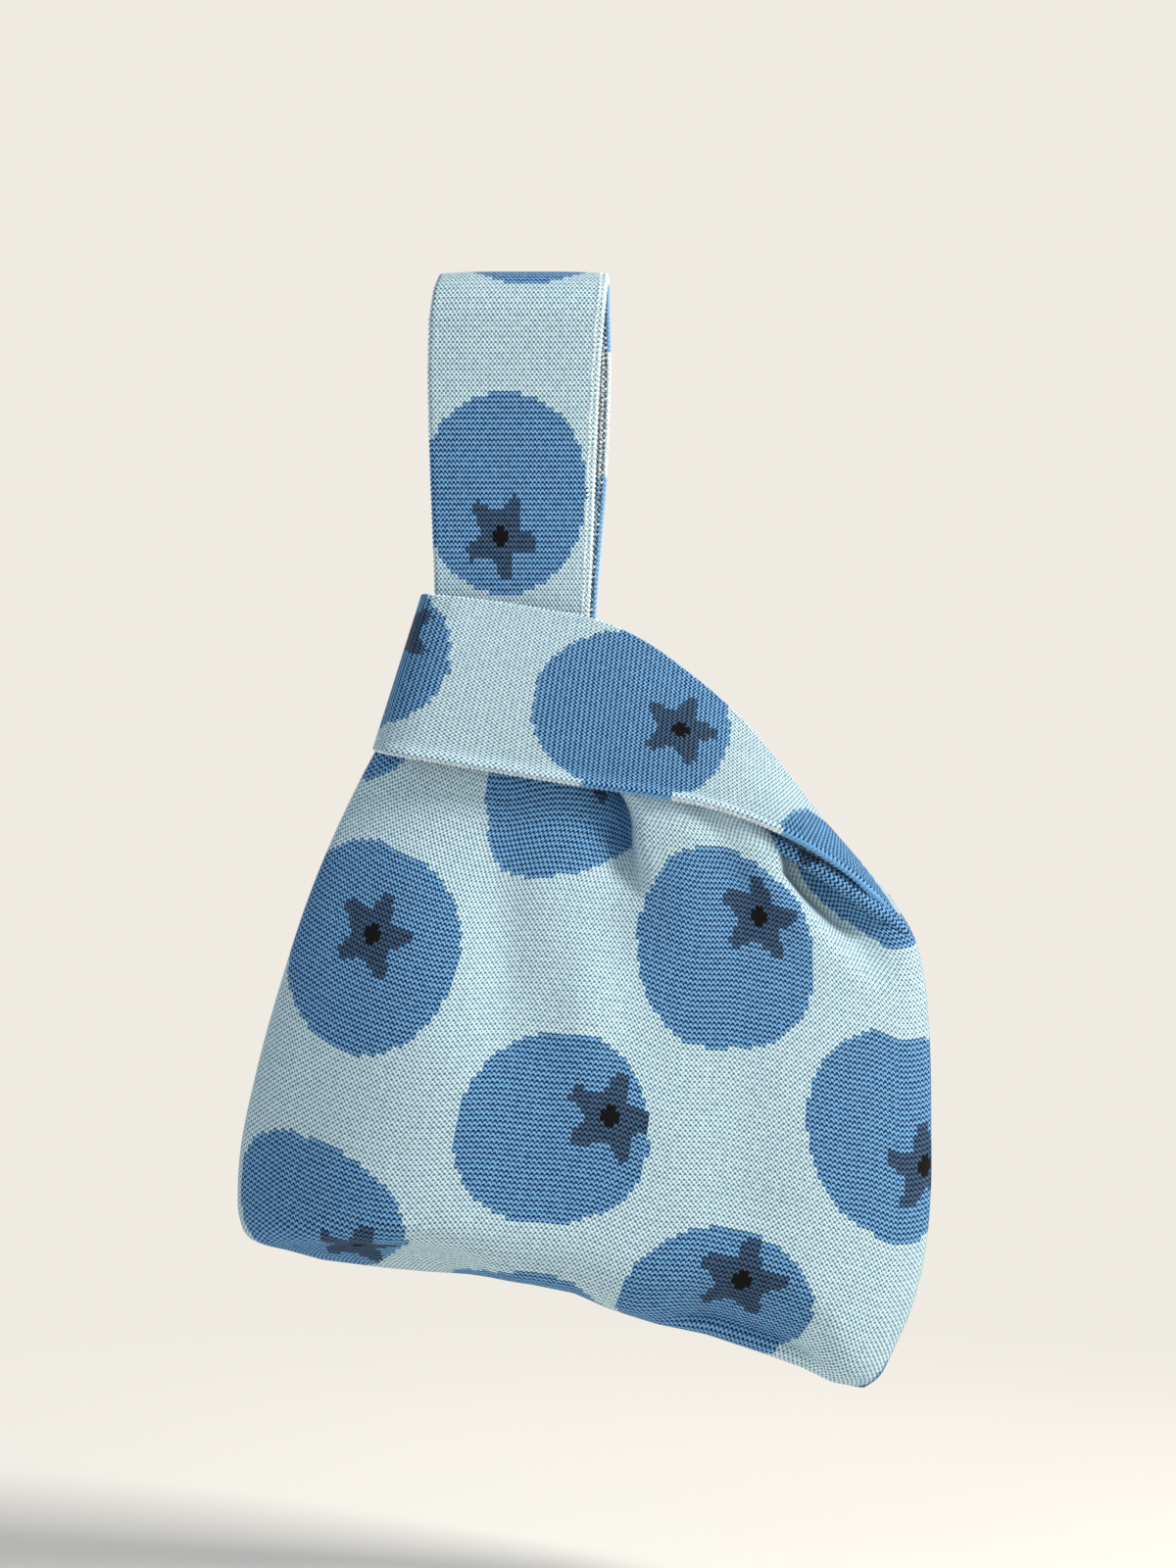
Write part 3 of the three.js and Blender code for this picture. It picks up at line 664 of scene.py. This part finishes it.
def knit_rows(side):
    """Panel and root as stitches: up each column the courses are set at their real height, and those of the
    root share what is left. Then each row is shared out evenly among its wales, but below the first
    FOLD_COURSES the wales hang straight down from there, at a constant share of the width. In the root the
    wale numbers change over to even ones that match the long handle's."""
    dense = panel_grid(side)
    dense = np.concatenate([dense, root_grid(dense[-1], side)])
    length = np.linalg.norm(np.diff(dense, axis=0), axis=2).sum(axis=0)
    courses = np.arange(PANEL_COURSES + 1.0)[:, None] + 0 * length
    rest = np.linspace(0, 1, ROOT_ROWS + 1)[1:, None]
    courses = np.concatenate([courses, PANEL_COURSES + (length / COURSE - PANEL_COURSES) * rest])
    dense = respaced(dense, courses * COURSE / length)
    wales = np.repeat(np.linspace(0, 1, PANEL_WALES + 1)[:, None], len(dense), axis=1)
    rows = np.swapaxes(dense, 0, 1)
    run = np.cumsum(np.linalg.norm(np.diff(rows, axis=0, prepend=rows[:1]), axis=2), axis=0)
    run /= run[-1]
    hang = np.interp(wales[:, FOLD_COURSES], run[:, FOLD_COURSES], rows[:, FOLD_COURSES, 0])
    hang = (hang - hang[0]) / (hang[-1] - hang[0])
    for r in range(FOLD_COURSES):
        x = rows[:, r, 0]
        wales[:, r] = np.interp(x[0] + hang * (x[-1] - x[0]), x, run[:, r])
    grid = np.swapaxes(respaced(rows, wales), 0, 1)
    step = np.linspace(0, dense.shape[1] - 1, PANEL_WALES + 1)
    course = np.array([np.interp(step, np.arange(dense.shape[1]), row) for row in courses])
    wale = np.repeat(np.arange(PANEL_WALES + 1.0)[None, :], len(grid), axis=0)
    even_wale = (grid[..., 0] - grid[-1, 0, 0]) / WALE + ROOT_FIRST_WALE
    pull = smooth(np.arange(len(grid)), PANEL_COURSES, PANEL_COURSES + ROOT_ROWS / 2)[:, None]
    return grid, wale + (even_wale - wale) * pull, course


panels = {}
for (side, side_name), berries in zip(SIDES, (FRONT_BERRIES, BACK_BERRIES)):
    panels[side], wale, course = knit_rows(side)
    piece = knit_piece(f"pouch_{side_name}_knit", panels[side], wale, course, berries, flip=side > 0)
    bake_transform(piece)
    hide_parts(f"{side_name}_panel", f"long_handle_root_{side_name}")

# Short handle
# The wide second handle, wrapped flat round the foot of the long one: it draws the mouth shut.
# Its wales run along it, closer together than on the pouch, its lower edge rolls outwards, and to the right
# it leans back like a roof. Its upper and lower edges are x, y and z on the front, from the fold on the left
# to the right end.
BAND_COURSES = 119
BAND_WALE = 1.2256
BAND_FAN, FAN_GROWS = 9.0, (0, 0.4)
BAND_STEPS = (220, 80)
BAND_UPPER = [
    (-29.7, -1.0, -102), (-29.4, -6.6, -102), (-27.2, -11.2, -102.2), (-21.5, -12.9, -102.8),
    (-8.3, -13.2, -104.3), (10.4, -13.2, -107.2), (23.1, -13, -109.5), (38.9, -12.5, -115.9),
    (54.7, -11.5, -126.8), (70.5, -10, -140.4), (83.1, -8.4, -154.7), (95.7, -6.8, -171.5),
    (108.4, -5, -186.4), (118.5, -3.6, -198), (123.5, -2.6, -205),
]
BAND_LOWER = [
    (-45.6, -1.0, -151.6), (-45, -6.5, -151.8), (-42, -12.2, -152.6), (-36, -15.2, -153.8),
    (-30.4, -15.8, -154.6), (-8.3, -16.2, -158.3), (23.1, -16.2, -163.3), (42, -16.2, -166.1),
    (61, -15.8, -169.5), (79.9, -15, -175.8), (95.7, -13.4, -183.6), (108.4, -10.4, -192.4),
    (115.5, -7.6, -198.6), (123, -4, -206),
]
BAND_BULGE = 1.6
EDGE_ROLL, EDGE_ROLL_SHARE = 2.1, 0.05
BAND_FREE = (0, 0.12, 0.9, 1)
FRONT_BAND_BERRIES = [
    (31.6, 90.2, 1.09, 1.09, 29.3, 107.2, 75),
    (37.8, -7.4, 1.0, 1.0, 49.0, 3.6, 44),
    (-16.8, 172.1, 1.0, 1.0, -30.0, 180.0, 0),
]
BACK_BAND_BERRIES = [
    (37.2, 9.2, 1.0, 1.0, 50.0, 0.0, 20),
    (20.0, 106.0, 1.0, 1.0, 14.0, 114.0, 70),
    (50.0, 182.0, 1.0, 1.0, 40.0, 184.0, 0),
]


def band_grid(side):
    """The band's middle surface: straight lines from its lower to its upper edge at equal shares of their
    lengths, swelled outwards by b sin(pi s) with a small roll exp(-(s/r)^2) at the lower edge, but for the
    two ends. Away from the fold its courses lean by f (s - 1/2)."""
    t = np.linspace(0, 1, BAND_STEPS[0] + 1)
    s = np.linspace(0, 1, BAND_STEPS[1] + 1)[None, :]
    low, high = through(BAND_LOWER, t), through(BAND_UPPER, t)
    grid = low[:, None] + (high - low)[:, None] * s[..., None]
    swell = BAND_BULGE * np.sin(math.pi * s) + peak(s, EDGE_ROLL, 0, EDGE_ROLL_SHARE)
    grid[..., 1] -= swell * plateau(t, BAND_FREE)[:, None]
    grid[..., 1] *= -side
    width = np.linalg.norm(high - low, axis=1)[:, None]
    wale = s * width / BAND_WALE
    course = t[:, None] * BAND_COURSES + BAND_FAN * (s - 0.5) * smooth(t, *FAN_GROWS)[:, None]
    return grid, wale, course


bands, band_yarn = {}, {}
for (side, side_name), berries in zip(SIDES, (FRONT_BAND_BERRIES, BACK_BAND_BERRIES)):
    bands[side], wale, course = band_grid(side)
    band_yarn[side] = yarn_at(wale, course, berries)
    turned = np.swapaxes(bands[side], 0, 1)
    piece = knit_piece(f"short_handle_{side_name}_knit", turned, wale.T, course.T, berries, flip=side > 0)
    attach(piece, "short_handle")
    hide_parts(f"short_handle_{side_name}")

# Rolled mouth edge
# Beside the shoulder the knit of the mouth rolls outwards on itself under the band, into a slim tapering
# roll. Its radius is given at shares of its length, and its turns are in half circles.
ROLL_LINE = [
    (74, -11, -175.6), (80, -11.2, -179.6), (89.4, -11.2, -185.2), (99, -10.4, -190.9), (107, -8.8, -196.5),
    (113.2, -7.2, -201.2), (120.5, -5.2, -206.2), (127, -3, -212),
]
ROLL_RADIUS = ([0, 0.2, 0.5, 0.8, 1], [0.6, 1.8, 2.3, 2.0, 0.6])
ROLL_STEPS = (90, 14)
ROLL_START, ROLL_TURN = -0.35, 1.35
ROLL_THICKNESS = 1.2
ROLL_FIRST_WALE, ROLL_COURSES = 5, 38
ROLL_BERRIES = [(8.0, 35.0, 1.1, 1.1, -1.0, 22.0, 18)]

t = np.linspace(0, 1, ROLL_STEPS[0] + 1)
turn = np.linspace(ROLL_START * math.pi, (ROLL_START + ROLL_TURN) * math.pi, ROLL_STEPS[1] + 1)[None, :]
line = through(ROLL_LINE, t)
along = np.gradient(line, axis=0)
along /= np.linalg.norm(along, axis=1)[:, None]
up = np.cross(along, [0.0, -1.0, 0.0])
up /= np.linalg.norm(up, axis=1)[:, None]
forward = np.cross(up, along)
radius = np.interp(t, *ROLL_RADIUS)[:, None]
around = -np.cos(turn)[..., None] * up[:, None] + np.sin(turn)[..., None] * forward[:, None]
roll = line[:, None] + radius[..., None] * around
roll_wale = turn * radius / WALE + ROLL_FIRST_WALE
roll_course = np.repeat(t[:, None] * ROLL_COURSES, ROLL_STEPS[1] + 1, axis=1)
for side, side_name in SIDES:
    points = roll * [1, -side, 1]
    name = f"mouth_roll_{side_name}"
    piece = knit_piece(name, points, roll_wale, roll_course, ROLL_BERRIES, side > 0, ROLL_THICKNESS)
    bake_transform(piece)

# Chain edges
# Every free edge is finished with a knitted-in chain: a double row of slanting loops of near-white yarn.
# Each loop is a bead that wraps the edge of the knit. The slant is in radians, the half width is a share of
# the chain's width, and a bead stands a little proud of the knit on both faces.
CHAIN_PITCH = 1.55
CHAIN_WIDTH = 2.2
BEAD_SLANT = 0.45
BEAD_HALF_LENGTH, BEAD_HALF_WIDTH = 1.0, 0.29
BEAD_PROUD = 0.25
BEAD_AROUND, BEAD_RINGS = 6, 3
# The second colour of each yarn is painted shade for where its plies meet.
CHAIN_HEX, CHAIN_SHADE_HEX = "#f8fdff", "#b4ccd8"
SEAM_HEX, SEAM_SHADE_HEX = "#d6e7ee", "#9fbccb"
FIBRE_NOISE, PLY_RANGE = (1400.0, 3.0), (0.35, 0.6)
FIBRE_RELIEF, FIBRE_STRENGTH = 0.0003, 0.5
CHAIN_ROUGHNESS, CHAIN_GLOSS = 0.85, 0.25


def chain_material(name, code, shade_code):
    """Two-ply yarn with fine fibres, with painted shade laid by noise for where the plies meet, and blue
    where the pattern is.
    """
    material = blank_material(name)
    tree = material.node_tree
    fibre = noise(tree, put(tree, "TexCoord").outputs["Object"], *FIBRE_NOISE)
    limits = {"Value": fibre, "From Min": PLY_RANGE[0], "From Max": PLY_RANGE[1]}
    ply_shading = put(tree, "MapRange", limits).outputs[0]
    # Painted shade: noise blends the yarn colour toward its darker shade colour.
    tone = put(tree, "Mix", {0: ply_shading, 6: linear(shade_code), 7: linear(code)}, data_type="RGBA").outputs[2]
    yarn = put(tree, "Attribute", attribute_name="yarn", attribute_type="GEOMETRY").outputs["Fac"]
    tone = put(tree, "Mix", {0: yarn, 6: tone, 7: linear(BERRY_HEX)}, data_type="RGBA").outputs[2]
    bump = {"Height": fibre, "Strength": FIBRE_STRENGTH, "Distance": FIBRE_RELIEF}
    surface = {
        "Base Color": tone,
        "Roughness": CHAIN_ROUGHNESS,
        "Normal": put(tree, "Bump", bump).outputs[0],
        "Specular IOR Level": CHAIN_GLOSS,
    }
    skin = put(tree, "BsdfPrincipled", surface)
    put(tree, "OutputMaterial", {"Surface": skin.outputs[0]})
    return material


chain_yarn = chain_material("white_chain_yarn", CHAIN_HEX, CHAIN_SHADE_HEX)
seam_yarn = chain_material("linking_yarn", SEAM_HEX, SEAM_SHADE_HEX)


def bead():
    """Points and faces of a unit ball, as rings of points between two poles."""
    up = np.linspace(0, math.pi, BEAD_RINGS + 2)[1:-1]
    turn = np.linspace(0, 2 * math.pi, BEAD_AROUND, endpoint=False)
    rings = [
        np.repeat(np.cos(up)[:, None], BEAD_AROUND, 1),
        np.sin(up)[:, None] * np.cos(turn),
        np.sin(up)[:, None] * np.sin(turn),
    ]
    points = np.concatenate([[[1.0, 0, 0]], np.stack(rings, axis=-1).reshape(-1, 3), [[-1.0, 0, 0]]])
    last = len(points) - 1
    last_ring = last - BEAD_AROUND
    faces = []
    for k in range(BEAD_AROUND):
        n = (k + 1) % BEAD_AROUND
        faces.append((0, 1 + k, 1 + n))
        for ring in range(1, last_ring, BEAD_AROUND):
            next_ring = ring + BEAD_AROUND
            faces.append((ring + k, next_ring + k, next_ring + n, ring + n))
        faces.append((last_ring + k, last, last_ring + n))
    return points, faces


def chain_piece(name, line, inner, material, width=CHAIN_WIDTH, thickness=KNIT, yarn=0):
    """Two rows of beads along a line, each a ball stretched along the line, with the rows slanted opposite
    ways. The line inner lies further into the knit, and a bead's third axis is square to both."""
    run = np.concatenate([[0], np.cumsum(np.linalg.norm(np.diff(line, axis=0), axis=1))])
    count = max(2, round(run[-1] / CHAIN_PITCH))
    places = (np.arange(count) + 0.5) / count * run[-1]
    at = np.stack([np.interp(places, run, line[:, k]) for k in range(3)], 1)
    into = np.stack([np.interp(places, run, (inner - line)[:, k]) for k in range(3)], 1)
    along = np.gradient(at, axis=0)
    along /= np.linalg.norm(along, axis=1)[:, None]
    into -= (into * along).sum(1)[:, None] * along
    into /= np.linalg.norm(into, axis=1)[:, None]
    out = np.cross(along, into)
    ball, ball_faces = bead()
    beads = []
    for row in (-1, 1):
        long_axis = along * math.cos(BEAD_SLANT) + row * into * math.sin(BEAD_SLANT)
        short_axis = np.cross(out, long_axis)
        middle = at + into * (row * width / 4 + width / 4)
        beads.append(
            middle[:, None]
            + ball[None, :, :1] * long_axis[:, None] * BEAD_HALF_LENGTH
            + ball[None, :, 1:2] * short_axis[:, None] * width * BEAD_HALF_WIDTH
            + ball[None, :, 2:] * out[:, None] * (thickness / 2 + BEAD_PROUD)
        )
    points = np.concatenate(beads).reshape(-1, 3)
    faces = [tuple(i + n * len(ball) for i in f) for n in range(2 * count) for f in ball_faces]
    mesh = bpy.data.meshes.new(name)
    mesh.from_pydata((points * MM).tolist(), [], faces)
    mesh.polygons.foreach_set("use_smooth", np.ones(len(faces), bool))
    bead_yarn = np.repeat(np.tile(np.round(np.interp(places, run, yarn + 0 * run)), 2), len(ball_faces))
    mesh.attributes.new("yarn", "FLOAT", "FACE").data.foreach_set("value", bead_yarn.astype(np.float32))
    mesh.materials.append(material)
    mesh.update()
    piece = bpy.data.objects.new(name, mesh)
    bpy.context.scene.collection.objects.link(piece)
    return piece


# On the long handle each chain has its edge's column, a column further in, its width and what it adds to
# the knit's thickness.
HANDLE_CHAINS = {"left": (0, 3, 1.8, -0.3), "right": (-1, -4, 3.6, 0.5)}
handle_yarn = np.minimum(yarn_at(handle_wale, handle_course, HANDLE_BERRIES), YARN_BERRY)
for edge_name, (at, inner_at, width, extra) in HANDLE_CHAINS.items():
    line, inner = handle_grid[:, at], handle_grid[:, inner_at]
    name = f"long_handle_chain_{edge_name}"
    piece = chain_piece(name, line, inner, chain_yarn, width, KNIT + extra, handle_yarn[:, at])
    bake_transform(piece)
    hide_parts(f"long_handle_edge_{edge_name}")

# The root's chains run up its two sides and the band's along its two edges. Each has its edge's column and
# one further in.
ROOT_CHAINS = {"armhole": (0, 3), "mouth": (-1, -4)}
BAND_CHAINS = {"lower": (0, 4), "upper": (-1, -5)}
BAND_CHAIN_WIDTH, BAND_CHAIN_EXTRA = 1.5, -0.4
for side, side_name in SIDES:
    root = panels[side][PANEL_COURSES:]
    for edge_name, (at, inner_at) in ROOT_CHAINS.items():
        piece = chain_piece(f"{edge_name}_chain_{side_name}", root[:, at], root[:, inner_at], chain_yarn)
        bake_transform(piece)
        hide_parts(f"{edge_name}_edge_{side_name}")
    for edge_name, (at, inner_at) in BAND_CHAINS.items():
        line, inner = bands[side][:, at], bands[side][:, inner_at]
        yarn = np.minimum(band_yarn[side][:, at], YARN_BERRY)
        thickness = KNIT + BAND_CHAIN_EXTRA
        name = f"band_{edge_name}_chain_{side_name}"
        piece = chain_piece(name, line, inner, chain_yarn, BAND_CHAIN_WIDTH, thickness, yarn)
        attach(piece, "short_handle")
        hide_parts(f"band_{edge_name}_edge_{side_name}")

# Linked seams
# The panels are linked together stitch by stitch down both sides and along the bottom,
# and each handle is closed into a loop by one such row.
SEAM_WIDTH, SEAM_THICKNESS = 1.8, 2.0
UP_FROM_HEM = [0, 0, 2.0]
JOIN_DROP = 34.0

front, back = (panels[side][: PANEL_COURSES + 1] for side, side_name in SIDES)
middle = (front + back) / 2
seams = {
    "left_side_seam": (middle[:, 0], middle[:, 3]),
    "right_side_seam": (middle[:, -1], middle[:, -4]),
    "bottom_seam": (middle[0], middle[0] + UP_FROM_HEM),
}
for seam_name, (line, inner) in seams.items():
    piece = chain_piece(seam_name + "_links", line, inner, seam_yarn, SEAM_WIDTH, SEAM_THICKNESS)
    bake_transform(piece)
    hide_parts(seam_name)

# The long handle's two straps are joined on the back, at the course nearest to the join's drop.
back_rows = np.flatnonzero(handle_y >= 0)
join_row = back_rows[np.argmin(np.abs(handle_z[back_rows] + JOIN_DROP))]
line, inner = handle_grid[join_row], handle_grid[join_row + 1]
piece = chain_piece("long_handle_join_links", line, inner, seam_yarn, SEAM_WIDTH)
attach(piece, "long_handle")
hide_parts("long_handle_join")

middle = (bands[-1] + bands[1]) / 2
piece = chain_piece("short_handle_join_links", middle[0], middle[3], seam_yarn, SEAM_WIDTH, SEAM_THICKNESS)
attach(piece, "short_handle")
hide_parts("short_handle_join")
